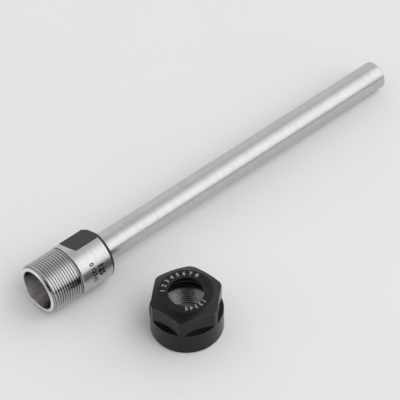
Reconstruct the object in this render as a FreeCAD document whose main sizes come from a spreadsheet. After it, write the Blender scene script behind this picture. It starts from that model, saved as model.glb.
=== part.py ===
import FreeCAD, Part
import os

import Sketcher

# Straight shank collet chuck, with its clamping nut taken off and standing beside it.
#
# The chuck body is turned from one bar: a threaded nose with a taper socket for the collet, a thread relief,
# a body with two wrench flats, and a long ground shank with a centre hole in its tail.
# The clamping nut is turned from one bar too: a cylinder with six flats milled on its upper part, and a bore
# with the thread, its relief, the lip and groove that draw the collet out, and the cone that closes it.
#
# Lengths are in millimetres and angles in degrees. The chuck body's own X axis is its turning axis, from the
# mouth of the socket at zero to the tail, and its wrench flats face its own Y axis, both ways. The nut's own
# Z axis runs from its open end at zero to its face.
# The floor is at zero height. The chuck body lies on it as it comes to rest, on its head and its tail, so its
# axis leans a little. The nut stands on its open end.

SIZES = {
    # Shank
    "shank_diameter": (8, "ground shank"),
    "shank_length": (100, "from the back of the head to the tail"),
    "shank_chamfer": (0.3, "at the tail"),
    "root_fillet": (0.4, "where the shank leaves the head"),
    "centre_mouth_diameter": (3.35, "60 degree centre hole in the tail"),
    "centre_drill_diameter": (1.6, "pilot of the centre hole"),
    "centre_depth": (3.2, "to the end of the pilot's wall"),
    "centre_half_angle": (30, "of the centre hole's cone"),
    # Head
    "head_length": (20.5, "from the mouth to the back of the head"),
    "body_diameter": (14.3, "plain part of the head"),
    "back_chamfer": (0.8, "at the back of the head"),
    "back_chamfer_crown": (0.02, "how far the middle of that chamfer bulges"),
    "front_chamfer": (0.15, "where the plain part starts"),
    "wrench_width": (12, "across the two flats of the head"),
    "wrench_start": (12.3, "from the mouth to the flats"),
    "wrench_wall_angle": (45, "slope of the wall that ends each flat towards the mouth"),
    # Threaded nose
    "thread_diameter": (14, "major diameter of the fine thread"),
    "thread_pitch": (0.75, "of the fine thread"),
    "thread_chamfer": (0.9, "lead into the thread"),
    "relief_start": (9.35, "from the mouth to the thread relief"),
    "relief_width": (0.55, "of the thread relief"),
    "relief_depth": (0.6, "below the thread's major diameter, on the radius"),
    # Socket for the collet
    "mouth_diameter": (11, "large end of the taper"),
    "mouth_chamfer": (0.15, "broken edge of the mouth"),
    "taper_half_angle": (8, "between the taper's wall and its axis"),
    "taper_depth": (14, "from the mouth to the end of the taper"),
    "bore_diameter": (7, "clearance bore behind the taper"),
    "bore_depth": (17.4, "to the end of the clearance bore's wall"),
    "drill_half_angle": (59, "of every drilled bottom"),
    # Clamping nut, outside
    "nut_diameter": (19, "of the round part"),
    "nut_height": (13.3, "from the open end to the face"),
    "nut_foot_chamfer": (0.35, "at the open end"),
    "nut_across_flats": (17, "of the hexagon"),
    "hexagon_start": (6.8, "from the open end to the flats"),
    "face_diameter": (14, "flat part of the face"),
    "bevel_angle": (30, "between the bevel round the face and the face"),
    "bevel_crown": (0.03, "how far the middle of that bevel bulges"),
    # Clamping nut, inside
    "front_hole_diameter": (9.3, "opening in the face"),
    "front_hole_chamfer": (0.2, "broken edge of that opening"),
    "front_hole_length": (1.4, "from the face to the cone"),
    "seat_half_angle": (30, "between the cone that closes the collet and the axis"),
    "seat_diameter": (11.6, "large end of that cone"),
    "ring_groove_diameter": (12.9, "groove that clears the collet's rim"),
    "ring_groove_width": (0.9, "of that groove"),
    "lip_diameter": (11.8, "lip that draws the collet out"),
    "lip_width": (0.7, "of that lip"),
    "nut_relief_diameter": (14.4, "thread relief inside the nut"),
    "nut_relief_width": (1.0, "of that relief"),
    "nut_entry_diameter": (14.5, "chamfer at the open end"),
    # How the two pieces lie
    "flat_roll": (24.0, "turn of the wrench flats about the axis, away from the nut"),
    "nut_from_mouth": (25.1, "along the chuck, from the mouth to the nut's axis"),
    "nut_offset": (29.3, "across, from the chuck's axis to the nut's axis"),
    "nut_turn": (10.9, "turn of the hexagon about the nut's axis"),
    "overrun": (1, "how far a milling cut runs past the stock"),
}

WORKED_OUT = {
    # Chuck body
    "shank_radius": ("shank_diameter / 2", "radius of the shank"),
    "body_radius": ("body_diameter / 2", "radius of the head's plain part"),
    "thread_radius": ("thread_diameter / 2", "radius over the thread"),
    "mouth_radius": ("mouth_diameter / 2", "radius of the taper's large end"),
    "total_length": ("head_length + shank_length", "from the mouth to the tail"),
    "back_chamfer_radius": ("back_chamfer * back_chamfer / 4 / back_chamfer_crown + back_chamfer_crown / 2",
                            "radius of the chamfer's crowned side"),
    "taper_end_radius": ("mouth_radius - taper_depth * tan(taper_half_angle)", "small end of the taper"),
    "bore_tip": ("bore_depth + bore_diameter / 2 / tan(drill_half_angle)", "bottom of the clearance bore"),
    "centre_cone": ("(centre_mouth_diameter - centre_drill_diameter) / 2 / tan(centre_half_angle)",
                    "depth of the centre hole's cone"),
    "centre_tip": ("centre_depth + centre_drill_diameter / 2 / tan(drill_half_angle)",
                   "bottom of the centre hole"),
    # Clamping nut
    "nut_radius": ("nut_diameter / 2", "radius of the nut's round part"),
    "bevel_foot": ("nut_height - (nut_diameter - face_diameter) / 2 * tan(bevel_angle)",
                   "height of the bevel's outer edge"),
    "bevel_length": ("(nut_diameter - face_diameter) / 2 / cos(bevel_angle)", "along the bevel's side"),
    "bevel_radius": ("bevel_length * bevel_length / 8 / bevel_crown + bevel_crown / 2",
                     "radius of the bevel's crowned side"),
    "nut_bore_radius": ("(thread_diameter - 1.0825 * thread_pitch) / 2", "crests of the nut's thread"),
    "nut_entry_depth": ("nut_entry_diameter / 2 - nut_bore_radius", "depth of the entry chamfer"),
    "seat_top": ("nut_height - front_hole_length", "height of the cone's small end"),
    "seat_foot": ("seat_top - (seat_diameter - front_hole_diameter) / 2 / tan(seat_half_angle)",
                  "height of the cone's large end"),
    "ring_groove_foot": ("seat_foot - ring_groove_width", "height of the groove's lower side"),
    "lip_foot": ("ring_groove_foot - lip_width", "height of the lip's lower side"),
    "nut_relief_foot": ("lip_foot - nut_relief_width", "height at which the nut's thread ends"),
    # Rest: the tail touches the floor at the chamfer, and the head at the round land in front of the flats or
    # at the lower flat's back corner, whichever lifts it more
    "tail_contact": ("total_length - shank_chamfer", "from the mouth to the tail's contact"),
    "flat_half_span": ("acos(wrench_width / body_diameter) / 1 deg", "half the angle that a flat spans"),
    "corner_drop": ("body_radius * cos(max(0; flat_half_span - flat_roll))", "depth of the flat's corner"),
    "wall_reach": ("max(0; body_radius * cos(flat_roll) - wrench_width / 2) / tan(wrench_wall_angle)",
                   "how far a flat's wall cuts into the round land, under the axis"),
    "tilt_on_land": ("atan((body_radius - shank_radius) / (tail_contact - wrench_start + wall_reach)) / 1 deg",
                     "lean on the round land"),
    "tilt_on_corner": ("atan((corner_drop - shank_radius) / (tail_contact - head_length + back_chamfer)) / 1 deg",
                       "lean on the flat's corner"),
    "rest_tilt": ("max(tilt_on_land; tilt_on_corner)", "lean of the chuck body"),
    # Places, with the origin at the middle of the floor under both pieces
    "reach_back": ("(thread_radius - thread_chamfer) * sin(rest_tilt)", "how far the mouth's foot leads"),
    "reach_front": ("total_length * cos(rest_tilt) + (shank_radius - shank_chamfer) * sin(rest_tilt)",
                    "from the mouth's centre to the tail's upper edge"),
    "mouth_x": ("(reach_back - reach_front) / 2", "centre of the mouth"),
    "mouth_y": ("(nut_offset + nut_radius - body_radius) / 2", "centre of the mouth"),
    "mouth_z": ("tail_contact * sin(rest_tilt) + shank_radius * cos(rest_tilt)", "centre of the mouth"),
    "nut_x": ("mouth_x + nut_from_mouth", "axis of the nut"),
    "nut_y": ("mouth_y - nut_offset", "axis of the nut"),
}

LYING = ("placement(vector(Sizes.mouth_x; Sizes.mouth_y; Sizes.mouth_z);"
         " rotation(vector(0; 1; 0); Sizes.rest_tilt) * rotation(vector(1; 0; 0); 90 - Sizes.flat_roll))")
STANDING = ("placement(vector(Sizes.nut_x; Sizes.nut_y; 0);"
            " rotation(vector(0; 0; 1); Sizes.nut_turn))")


def make_sheet(doc):
    """Put the driving dimensions and what follows from them in the sheet, one to a row."""
    sheet = doc.addObject("Spreadsheet::Sheet", "Sizes")
    row = 0
    for alias, (value, meaning) in SIZES.items():
        row += 1
        sheet.set(f"A{row}", alias)
        sheet.set(f"B{row}", str(value))
        sheet.set(f"C{row}", meaning)
        sheet.setAlias(f"B{row}", alias)
    for alias, (formula, meaning) in WORKED_OUT.items():
        row += 1
        sheet.set(f"A{row}", alias)
        sheet.set(f"B{row}", f"={formula}")
        sheet.set(f"C{row}", meaning)
        sheet.setAlias(f"B{row}", alias)
    doc.recompute()
    return sheet


def make_body(doc, name, placement):
    """Start a sub-part whose placement follows the sheet."""
    body = doc.addObject("PartDesign::Body", name)
    body.Label = name
    body.setExpression("Placement", placement)
    return body


def origin_feature(body, role):
    """Find one of the body's own origin planes or axes."""
    return next(feature for feature in body.Origin.OriginFeatures if feature.Role == role)


def make_sketch(body, name, plane, height="0"):
    """Start a sketch on an origin plane of the body, raised along the plane's normal."""
    sketch = body.newObject("Sketcher::SketchObject", name)
    sketch.AttachmentSupport = [(origin_feature(body, plane), "")]
    sketch.MapMode = "FlatFace"
    if height != "0":
        sketch.setExpression("AttachmentOffset.Base.z", height)
    return sketch


def bind(sketch, label, constraint, expression):
    """Add a constraint whose value follows the expression."""
    index = sketch.addConstraint(constraint)
    sketch.renameConstraint(index, label)
    sketch.setExpression(f"Constraints.{label}", expression)


def crowned_side(start, end, radius):
    """Make the arc of this radius from start to end that lies left of the way, so it bulges to the right."""
    along = end - start
    half = along.Length / 2
    left = FreeCAD.Vector(-along.y, along.x, 0).normalize()
    middle = (start + end) / 2 - left * (radius - (radius * radius - half * half) ** 0.5)
    return Part.Arc(start, middle, end)


def draw_profile(sketch, corners, crowns=None):
    """Draw a closed outline through corners, each a pair of expressions; 0 lies on the axis itself.

    crowns gives the radius, as an expression, of each side that bulges outwards, by the corner it starts from.
    """
    crowns = crowns or {}
    places = [
        FreeCAD.Vector(float(sketch.evalExpression(across)), float(sketch.evalExpression(up)), 0)
        for across, up in corners
    ]
    count = len(places)
    turned = sum(place.cross(places[(index + 1) % count]).z for index, place in enumerate(places))
    first = [1] * count
    for index, place in enumerate(places):
        after = places[(index + 1) % count]
        if index not in crowns:
            side = Part.LineSegment(place, after)
        elif turned > 0:
            side = crowned_side(place, after, float(sketch.evalExpression(crowns[index])))
        else:
            side = crowned_side(after, place, float(sketch.evalExpression(crowns[index])))
            first[index] = 2
        sketch.addGeometry(side, False)
    for index in range(count):
        after = (index + 1) % count
        sketch.addConstraint(Sketcher.Constraint("Coincident", index, 3 - first[index], after, first[after]))
    for index, (across, up) in enumerate(corners):
        place = places[index]
        end = first[index]
        if across == "0":
            sketch.addConstraint(Sketcher.Constraint("PointOnObject", index, end, -2))
        else:
            bind(sketch, f"across_{index}", Sketcher.Constraint("DistanceX", -1, 1, index, end, place.x), across)
        if up == "0":
            sketch.addConstraint(Sketcher.Constraint("PointOnObject", index, end, -1))
        else:
            bind(sketch, f"up_{index}", Sketcher.Constraint("DistanceY", -1, 1, index, end, place.y), up)
    for index, radius in crowns.items():
        value = float(sketch.evalExpression(radius))
        bind(sketch, f"crown_{index}", Sketcher.Constraint("Radius", index, value), radius)


def draw_cutter(sketch, near, far, width):
    """Draw the end view of a milling cut: a rectangle from near to far, centred on the level axis."""
    start = float(sketch.evalExpression(near))
    end = float(sketch.evalExpression(far))
    half = float(sketch.evalExpression(width)) / 2
    corners = [(start, -half), (end, -half), (end, half), (start, half)]
    places = [FreeCAD.Vector(across, up, 0) for across, up in corners]
    for index, place in enumerate(places):
        sketch.addGeometry(Part.LineSegment(place, places[(index + 1) % 4]), False)
    for index in range(4):
        sketch.addConstraint(Sketcher.Constraint("Coincident", index, 2, (index + 1) % 4, 1))
    sketch.addConstraint(Sketcher.Constraint("Horizontal", 0))
    sketch.addConstraint(Sketcher.Constraint("Horizontal", 2))
    sketch.addConstraint(Sketcher.Constraint("Vertical", 1))
    sketch.addConstraint(Sketcher.Constraint("Symmetric", 0, 1, 2, 2, -1))
    bind(sketch, "near", Sketcher.Constraint("DistanceX", -1, 1, 0, 1, start), near)
    bind(sketch, "far", Sketcher.Constraint("DistanceX", -1, 1, 0, 2, end), far)
    bind(sketch, "wide", Sketcher.Constraint("DistanceY", 1, 1, 1, 2, 2 * half), width)


def turn(body, kind, name, plane, axis, corners, crowns=None):
    """Turn an outline a full circle about a sketch axis, to add (Revolution) or take away (Groove)."""
    sketch = make_sketch(body, f"{name}_outline", plane)
    draw_profile(sketch, corners, crowns)
    feature = body.newObject(f"PartDesign::{kind}", name)
    feature.Profile = sketch
    feature.ReferenceAxis = (sketch, [axis])
    feature.Angle = 360
    body.Document.recompute()
    return feature


def mill_flats(body, name, plane, start, length, half_width, stock_radius, axis, count):
    """Mill a flat beyond the start plane, half_width from the axis, and repeat it round the axis."""
    sketch = make_sketch(body, f"{name}_cutter", plane, start)
    draw_cutter(sketch, half_width, f"{stock_radius} + Sizes.overrun", f"2 * ({stock_radius} + Sizes.overrun)")
    pocket = body.newObject("PartDesign::Pocket", f"{name}_cut")
    pocket.Profile = sketch
    pocket.Type = "Length"
    pocket.Reversed = True
    pocket.setExpression("Length", f"{length} + Sizes.overrun")
    body.Document.recompute()
    return repeat_round(body, name, pocket, axis, count)


def mill_ramped_flats(body, name, plane, corners, width, axis, count):
    """Mill a flat whose side view has these corners, as wide as the cutter, and repeat it round the axis."""
    sketch = make_sketch(body, f"{name}_side", plane)
    draw_profile(sketch, corners)
    pocket = body.newObject("PartDesign::Pocket", f"{name}_cut")
    pocket.Profile = sketch
    pocket.Type = "Length"
    pocket.SideType = "Symmetric"
    pocket.setExpression("Length", width)
    body.Document.recompute()
    return repeat_round(body, name, pocket, axis, count)


def repeat_round(body, name, cut, axis, count):
    """Repeat a cut at even steps round the axis."""
    pattern = body.newObject("PartDesign::PolarPattern", name)
    pattern.Originals = [cut]
    pattern.Axis = (origin_feature(body, axis), [""])
    pattern.Angle = 360
    pattern.Occurrences = count
    body.Tip = pattern
    body.Document.recompute()
    return pattern


def circle_edge(feature, level, radius):
    """Name the feature's round edge at this place along X and of this radius."""
    for index, edge in enumerate(feature.Shape.Edges, 1):
        curve = edge.Curve
        if not isinstance(curve, Part.Circle):
            continue
        if abs(curve.Radius - radius) < 1e-6 and abs(edge.CenterOfMass.x - level) < 1e-6:
            return f"Edge{index}"
    raise ValueError(f"no round edge at {level} with radius {radius}")


def make_chuck_body(doc, sheet):
    """Turn the chuck body, then bore its socket and tail, and mill its wrench flats."""
    body = make_body(doc, "chuck_body", LYING)
    turned = turn(body, "Revolution", "turned_bar", "XZ_Plane", "H_Axis", [
        ("0", "0"),
        ("0", "Sizes.thread_radius - Sizes.thread_chamfer"),
        ("Sizes.thread_chamfer", "Sizes.thread_radius"),
        ("Sizes.relief_start", "Sizes.thread_radius"),
        ("Sizes.relief_start", "Sizes.thread_radius - Sizes.relief_depth"),
        ("Sizes.relief_start + Sizes.relief_width", "Sizes.thread_radius - Sizes.relief_depth"),
        ("Sizes.relief_start + Sizes.relief_width", "Sizes.body_radius - Sizes.front_chamfer"),
        ("Sizes.relief_start + Sizes.relief_width + Sizes.front_chamfer", "Sizes.body_radius"),
        ("Sizes.head_length - Sizes.back_chamfer", "Sizes.body_radius"),
        ("Sizes.head_length", "Sizes.body_radius - Sizes.back_chamfer"),
        ("Sizes.head_length", "Sizes.shank_radius"),
        ("Sizes.total_length - Sizes.shank_chamfer", "Sizes.shank_radius"),
        ("Sizes.total_length", "Sizes.shank_radius - Sizes.shank_chamfer"),
        ("Sizes.total_length", "0"),
    ], {8: "Sizes.back_chamfer_radius"})
    fillet = body.newObject("PartDesign::Fillet", "shank_root")
    fillet.Base = (turned, [circle_edge(turned, sheet.head_length, sheet.shank_radius)])
    fillet.setExpression("Radius", "Sizes.root_fillet")
    doc.recompute()
    turn(body, "Groove", "collet_socket", "XZ_Plane", "H_Axis", [
        ("0", "0"),
        ("0", "Sizes.mouth_radius + Sizes.mouth_chamfer"),
        ("Sizes.mouth_chamfer", "Sizes.mouth_radius - Sizes.mouth_chamfer * tan(Sizes.taper_half_angle)"),
        ("Sizes.taper_depth", "Sizes.taper_end_radius"),
        ("Sizes.taper_depth", "Sizes.bore_diameter / 2"),
        ("Sizes.bore_depth", "Sizes.bore_diameter / 2"),
        ("Sizes.bore_tip", "0"),
    ])
    turn(body, "Groove", "centre_hole", "XZ_Plane", "H_Axis", [
        ("Sizes.total_length", "0"),
        ("Sizes.total_length", "Sizes.centre_mouth_diameter / 2"),
        ("Sizes.total_length - Sizes.centre_cone", "Sizes.centre_drill_diameter / 2"),
        ("Sizes.total_length - Sizes.centre_depth", "Sizes.centre_drill_diameter / 2"),
        ("Sizes.total_length - Sizes.centre_tip", "0"),
    ])
    top = "Sizes.body_radius + Sizes.overrun"
    ramp = f"({top} - Sizes.wrench_width / 2) / tan(Sizes.wrench_wall_angle)"
    mill_ramped_flats(body, "wrench_flats", "XY_Plane", [
        ("Sizes.wrench_start", "Sizes.wrench_width / 2"),
        ("Sizes.head_length + Sizes.overrun", "Sizes.wrench_width / 2"),
        ("Sizes.head_length + Sizes.overrun", top),
        (f"Sizes.wrench_start - {ramp}", top),
    ], f"2 * ({top})", "X_Axis", 2)
    return body


def make_clamping_nut(doc):
    """Turn the clamping nut, bore it through, and mill its six flats."""
    body = make_body(doc, "clamping_nut", STANDING)
    turn(body, "Revolution", "turned_blank", "XZ_Plane", "V_Axis", [
        ("0", "0"),
        ("Sizes.nut_radius - Sizes.nut_foot_chamfer", "0"),
        ("Sizes.nut_radius", "Sizes.nut_foot_chamfer"),
        ("Sizes.nut_radius", "Sizes.bevel_foot"),
        ("Sizes.face_diameter / 2", "Sizes.nut_height"),
        ("0", "Sizes.nut_height"),
    ], {3: "Sizes.bevel_radius"})
    turn(body, "Groove", "collet_way", "XZ_Plane", "V_Axis", [
        ("0", "0"),
        ("Sizes.nut_entry_diameter / 2", "0"),
        ("Sizes.nut_bore_radius", "Sizes.nut_entry_depth"),
        ("Sizes.nut_bore_radius", "Sizes.nut_relief_foot"),
        ("Sizes.nut_relief_diameter / 2", "Sizes.nut_relief_foot"),
        ("Sizes.nut_relief_diameter / 2", "Sizes.lip_foot"),
        ("Sizes.lip_diameter / 2", "Sizes.lip_foot"),
        ("Sizes.lip_diameter / 2", "Sizes.ring_groove_foot"),
        ("Sizes.ring_groove_diameter / 2", "Sizes.ring_groove_foot"),
        ("Sizes.ring_groove_diameter / 2", "Sizes.seat_foot"),
        ("Sizes.seat_diameter / 2", "Sizes.seat_foot"),
        ("Sizes.front_hole_diameter / 2", "Sizes.seat_top"),
        ("Sizes.front_hole_diameter / 2", "Sizes.nut_height - Sizes.front_hole_chamfer"),
        ("Sizes.front_hole_diameter / 2 + Sizes.front_hole_chamfer", "Sizes.nut_height"),
        ("0", "Sizes.nut_height"),
    ])
    mill_flats(body, "hexagon", "XY_Plane", "Sizes.hexagon_start",
               "Sizes.nut_height - Sizes.hexagon_start", "Sizes.nut_across_flats / 2", "Sizes.nut_radius",
               "Z_Axis", 6)
    return body


def check_document(doc):
    """Stop if any object of the document failed to build."""
    for item in doc.Objects:
        if "Invalid" in item.State or "Error" in item.State:
            raise ValueError(f"{item.Name} failed: {item.State}")


def check_body(body):
    """Stop unless the body is one valid solid and every cut took something away."""
    shape = body.Shape
    if shape.isNull() or not shape.isValid() or len(shape.Solids) != 1:
        raise ValueError(f"{body.Label} isn't one valid solid")
    cuts = [item for item in body.Group if item.TypeId in ("PartDesign::Groove", "PartDesign::Pocket")]
    for cut in cuts:
        if cut.Shape.Volume > cut.BaseFeature.Shape.Volume - 0.1:
            raise ValueError(f"{cut.Name} cuts nothing")


def main():
    """Build both pieces and write one file for each."""
    doc = FreeCAD.newDocument("collet_chuck")
    sheet = make_sheet(doc)
    bodies = [make_chuck_body(doc, sheet), make_clamping_nut(doc)]
    doc.recompute()
    check_document(doc)
    for body in bodies:
        check_body(body)
    os.makedirs("parts", exist_ok=True)
    for body in bodies:
        body.Shape.exportStep(f"parts/{body.Label}.step")
        box = body.Shape.BoundBox
        print(f"{body.Label}: {body.Shape.Volume:.1f} mm3, "
              f"x {box.XMin:.3f} to {box.XMax:.3f}, y {box.YMin:.3f} to {box.YMax:.3f}, "
              f"z {box.ZMin:.3f} to {box.ZMax:.3f}")


main()
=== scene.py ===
"""A straight shank collet chuck and its clamping nut, taken apart and laid on a pale floor.

Sizes in the dataclasses are millimetres and degrees, in the frame of the CAD model. Meshes are built in metres.
Each piece is one closed surface turned about its own axis: a grid whose rows follow the outline and whose columns
go round the axis. Flats and threads are part of the same surface.
"""

import logging
from collections.abc import Mapping, Sequence
from dataclasses import dataclass, field
from enum import Enum, IntEnum
from functools import cached_property
from math import acos, ceil, cos, degrees, pi, radians, sin, tan

import bmesh
import bpy
import numpy as np
from mathutils import Matrix, Vector


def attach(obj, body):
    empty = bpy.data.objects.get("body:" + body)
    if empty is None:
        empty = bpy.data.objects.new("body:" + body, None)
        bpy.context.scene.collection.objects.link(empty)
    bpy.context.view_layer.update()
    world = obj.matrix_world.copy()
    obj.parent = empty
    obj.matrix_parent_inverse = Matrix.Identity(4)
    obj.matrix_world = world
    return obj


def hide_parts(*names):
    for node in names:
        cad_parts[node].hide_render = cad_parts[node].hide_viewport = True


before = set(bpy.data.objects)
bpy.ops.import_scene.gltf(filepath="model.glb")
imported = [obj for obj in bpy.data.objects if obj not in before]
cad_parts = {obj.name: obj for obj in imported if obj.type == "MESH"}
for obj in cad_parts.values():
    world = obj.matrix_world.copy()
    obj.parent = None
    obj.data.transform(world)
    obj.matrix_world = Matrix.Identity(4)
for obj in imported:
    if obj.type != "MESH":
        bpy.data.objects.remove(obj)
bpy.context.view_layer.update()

MM = 0.001
LOG = logging.getLogger("collet_chuck")

# Places closer than this many metres are one, and an edge shorter than NO_LENGTH is none.
SAME_PLACE = 1e-6
NO_LENGTH = 1e-8
# Edges that bend more than this many degrees are shaded sharp.
CREASE = 30.0
# Even columns keep this many times a marked column's hold away from it.
CLEAR_OF_MARK = 1.4
# A broken edge has ARC_STEPS steps and takes ARC_ROOM of the shorter side at most. The row beyond it, which holds
# the side flat, stands at HOLD_ROOM of its side at most.
ARC_STEPS = 3
ARC_ROOM = 0.45
HOLD_ROOM = 0.48
# Half the angle of a corner is at least this, in radians.
SHARPEST = 0.05
# A sine, a cosine or an angle in radians below this counts as none, and is taken to be this where it divides.
SMALL = 1e-3
# Shares of a side at which its bulge has rows.
BULGE_ROWS = (0.25, 0.5, 0.75)

Array = np.ndarray
Material = bpy.types.Material
Piece = bpy.types.Object
Socket = bpy.types.NodeSocket
Number = float | Array
Colour = tuple[float, float, float]
Faces = list[tuple[int, ...]]
Shape = tuple[Array, Faces]


class Zone(IntEnum):
    """Which finish a face of a piece takes: its place in the piece's list of materials.

    SOCKET is also the finish of the head's front chamfer and of the tail's centre, and FACE that of the wall behind
    the thread relief. FACE is steel painted lighter, as painted light, on the mouth's face, the start of the
    thread's lead and that wall. CHAMFER is the hardened skin painted darker, as painted shade. The nut has the first
    two alone.
    """

    GROUND = 0
    THREAD = 1
    SKIN = 2
    SOCKET = 3
    FACE = 4
    CHAMFER = 5


class ThreadSide(Enum):
    """Whether a thread stands on a bar or is cut inside a bore."""

    OUTSIDE = 1
    INSIDE = -1


# --- Surfaces ---


@dataclass(frozen=True)
class Corner:
    """One corner of an outline, and how the side that follows it is finished.

    along and radius may differ from column to column. rounding is the radius of the broken edge, and bulge is how
    far the middle of the side that follows stands proud of a straight line. A worn corner's arc carries the mask
    that lays bare steel in the dark finishes: rubbed steel, and a painted highlight on the edge.
    """

    along: Number
    radius: Number
    zone: Number = Zone.GROUND
    rounding: float = 0.0
    worn: bool = True
    bulge: float = 0.0


@dataclass
class Rows:
    """Rows of a turned surface: distance along the axis, radius, and the mask of rubbed edges and painted light at
    each column, and each band's zone.
    """

    along: Array
    radius: Array
    wear_and_painted_light: Array
    zone: Array

    @classmethod
    def joined(cls, blocks: Sequence["Rows"]) -> "Rows":
        """Put blocks of rows one after another."""
        return cls(*(np.vstack([getattr(block, name) for block in blocks])
                     for name in ("along", "radius", "wear_and_painted_light", "zone")))

    def backwards(self) -> "Rows":
        """Give the same rows in the other order, with each band's zone kept on its band."""
        zone = np.vstack([self.zone[-2::-1], self.zone[-1:]])
        return Rows(self.along[::-1], self.radius[::-1], self.wear_and_painted_light[::-1], zone)


def unit(vectors: Array) -> Array:
    """Scale vectors to length one, and leave those of no length alone."""
    return vectors / np.maximum(np.linalg.norm(vectors, axis=-1, keepdims=True), 1e-12)


def columns_round(count: int, marked: Sequence[float], hold: float) -> Array:
    """Choose the angles of the columns.

    They are evenly spaced over a full turn, with three more at each marked angle: one on it and one on each side
    at the hold's distance. Even columns that come too near to one of these are left out.

    Args:
        count: how many even columns there are.
        marked: angles in degrees that must fall on a column.
        hold: distance in degrees of the columns beside a marked one.

    Returns:
        The angles in radians, from zero to a full turn, both included.
    """
    special = np.array([angle + step for angle in marked for step in (-hold, 0.0, hold)]) % 360.0
    even = np.linspace(0.0, 360.0, count + 1)[1:-1]
    gap = np.abs(even[:, None] - special[None, :]).min(axis=1)
    return np.radians(np.unique(np.concatenate([[0.0, 360.0], even[gap > CLEAR_OF_MARK * hold], special])))


def outline(corners: Sequence[Corner], columns: int) -> Rows:
    """Make the rows of an outline, with its edges broken.

    A corner with a rounding is replaced by an arc that touches both its sides, worked out for every column at
    once: the arc starts at the rounding's radius over the tangent of half the corner's angle from the corner. One
    more row on each side, a little beyond the arc, keeps the long sides flat when they are shaded. A bulge lifts
    the rows of its side by four times its height times the share of the side before a row and that after it.

    Args:
        corners: the outline, from its first corner to its last.
        columns: how many columns each row has.

    Returns:
        The rows, in the same order as the corners.
    """
    here = np.stack([
        np.stack([np.broadcast_to(np.asarray(value, float), (columns,)) for value in (c.along, c.radius)], -1)
        for c in corners
    ])
    points: list[Array] = []
    wear_and_painted_light: list[Array] = []
    zones: list[Array] = []

    def put(point: Array, worn: float, zone: Number) -> None:
        """Add one row.

        Args:
            point: distance along the axis and radius at each column.
            worn: how worn the row is.
            zone: the finish of the band that follows.
        """
        points.append(point)
        wear_and_painted_light.append(np.full(columns, worn))
        zones.append(np.broadcast_to(np.asarray(zone, float), (columns,)))

    for index, corner in enumerate(corners):
        before = corners[index - 1].zone if index else corner.zone
        if corner.rounding <= 0 or index in (0, len(corners) - 1):
            put(here[index], 0.0, corner.zone)
        else:
            back, ahead = here[index - 1] - here[index], here[index + 1] - here[index]
            lengths = [np.linalg.norm(side, axis=-1) for side in (back, ahead)]
            back, ahead = unit(back), unit(ahead)
            half = np.arccos(np.clip((back * ahead).sum(-1), -1, 1)) / 2
            half = np.clip(half, SHARPEST, pi / 2 - SMALL)
            reach = np.minimum(corner.rounding / np.tan(half), np.minimum(*lengths) * ARC_ROOM)
            centre = here[index] + unit(back + ahead) * (reach / np.cos(half))[:, None]
            start = here[index] + back * reach[:, None]
            end = here[index] + ahead * reach[:, None]
            turn = (pi - 2 * half)[:, None]
            hold_back, hold_ahead = (
                np.minimum(reach + corner.rounding / 2, length * HOLD_ROOM)[:, None] for length in lengths
            )
            put(here[index] + back * hold_back, 0.0, before)
            for step in range(ARC_STEPS + 1):
                share = step / ARC_STEPS
                arm = np.sin((1 - share) * turn) * (start - centre) + np.sin(share * turn) * (end - centre)
                arc = np.where(np.sin(turn) < SMALL, start + (end - start) * share,
                               centre + arm / np.maximum(np.sin(turn), SMALL))
                put(arc, float(corner.worn), before if step < ARC_STEPS / 2 else corner.zone)
            put(here[index] + ahead * hold_ahead, 0.0, corner.zone)
        if corner.bulge:
            side = here[index + 1] - here[index]
            normal = unit(np.stack([-side[:, 1], side[:, 0]], -1))
            normal *= np.where(normal[:, 1:] < 0, -1.0, 1.0)
            for share in BULGE_ROWS:
                lift = 4 * share * (1 - share) * corner.bulge
                put(here[index] + side * share + normal * lift, 0.0, corner.zone)
    grid = np.stack(points)
    return Rows(grid[..., 0], grid[..., 1], np.stack(wear_and_painted_light), np.stack(zones))


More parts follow.
